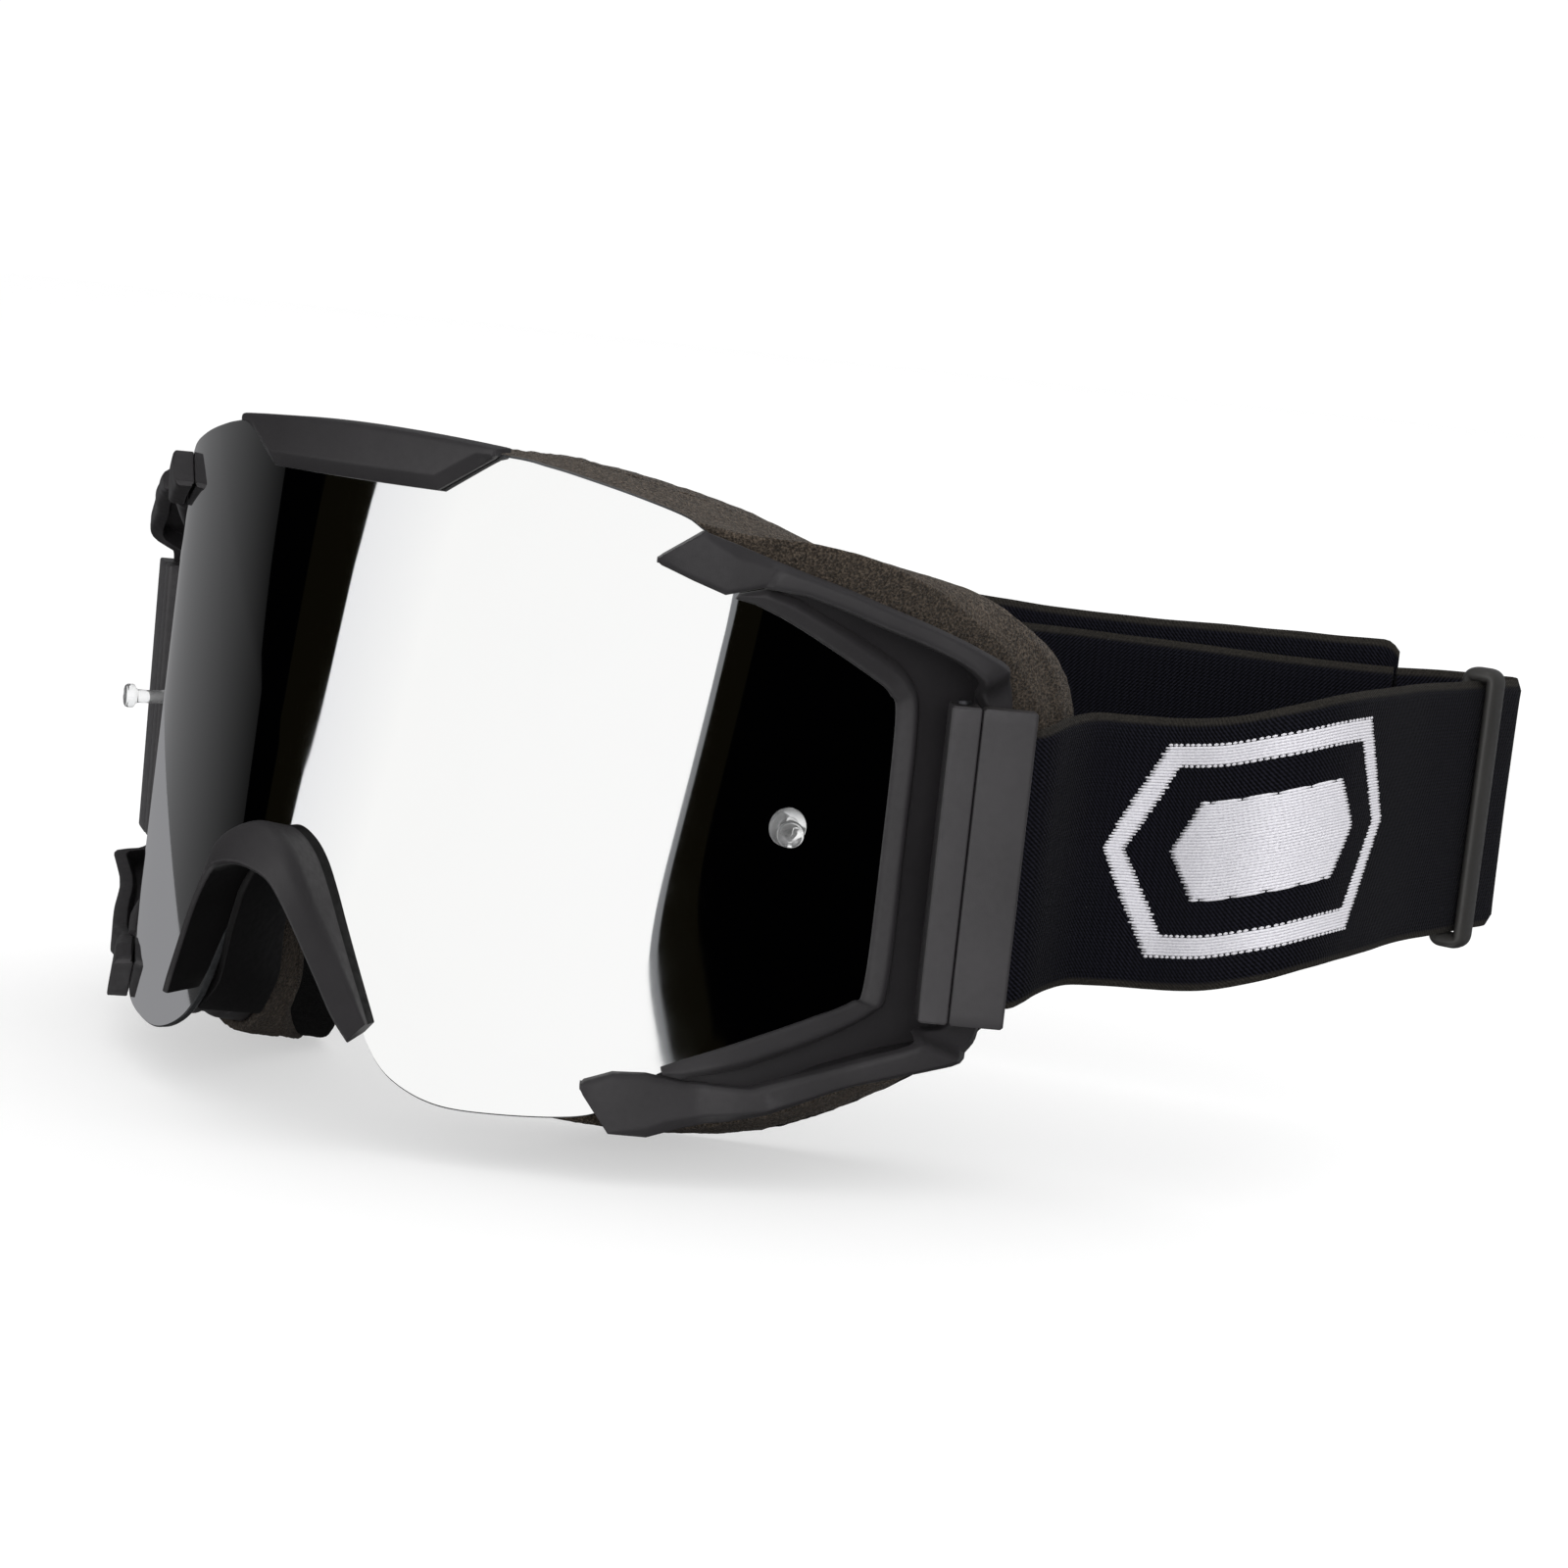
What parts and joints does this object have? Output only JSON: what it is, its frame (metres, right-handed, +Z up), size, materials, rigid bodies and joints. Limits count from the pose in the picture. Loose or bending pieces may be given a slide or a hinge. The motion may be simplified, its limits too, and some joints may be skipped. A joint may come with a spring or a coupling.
{
  "type": "motorcycle goggles",
  "caption": "Wrap-round riding goggles with a mirror lens, foam face seal, hinged strap clips and a wide elastic head strap with a sliding adjuster.",
  "frame": {"origin": "bottom centre of the whole object's box, under the lowest point of the face foam", "axes": "+Z up, -Y the way the wearer looks, +X the wearer's left"},
  "size_m": [0.2246, 0.196, 0.1124],
  "materials": {
    "shell_plastic": "soft-touch charcoal",
    "clip_plastic": "satin dark grey",
    "slider_plastic": "satin near-black",
    "mirror_lens": "silver mirror coat on dark polycarbonate",
    "clear_plastic": "clear moulded plastic",
    "black_rubber": "soft black",
    "steel_pin": "plain steel",
    "face_foam": "open-cell foam, brown-grey",
    "fleece": "black brushed fleece",
    "elastic_webbing": "fine ribbed black elastic"
  },
  "bodies": {
    "goggles": {"lens": "mirror_lens", "frame_shell": "shell_plastic", "brow_cover": "shell_plastic", "nose_arch": "shell_plastic", "nose_guard": "black_rubber", "outrigger_left": "shell_plastic", "outrigger_right": "shell_plastic", "lens_rim_left": "shell_plastic", "lens_rim_right": "shell_plastic", "clip_pin_left": "steel_pin", "clip_pin_right": "steel_pin", "tear_off_post_left": "clear_plastic", "tear_off_post_right": "clear_plastic", "post_keeper_left": "black_rubber", "post_keeper_right": "black_rubber", "foam_base": "face_foam", "foam_middle": "face_foam", "foam_fleece": "fleece", "strap_left": "elastic_webbing", "strap_right": "elastic_webbing", "strap_tail": "elastic_webbing"},
    "clip_left": {"clip_bar_left": "clip_plastic", "clip_plate_left": "clip_plastic", "strap_end_left": "elastic_webbing"},
    "clip_right": {"clip_bar_right": "clip_plastic", "clip_plate_right": "clip_plastic", "strap_end_right": "elastic_webbing"},
    "adjuster": {"strap_slider": "slider_plastic"}
  },
  "joints": [
    {"name": "clip_left_swing", "type": "hinge", "parent": "goggles", "child": "clip_left", "pos_m": [0.06755, -0.02471, 0.05342], "axis": [0, 0, -1], "range_deg": [0, 25]},
    {"name": "clip_right_swing", "type": "hinge", "parent": "goggles", "child": "clip_right", "pos_m": [-0.09996, -0.02471, 0.05342], "axis": [0, 0, 1], "range_deg": [0, 25]},
    {"name": "adjuster_slide", "type": "slide", "parent": "goggles", "child": "adjuster", "axis": [0, -1, 0], "range_m": [0, 0.022]}
  ]
}
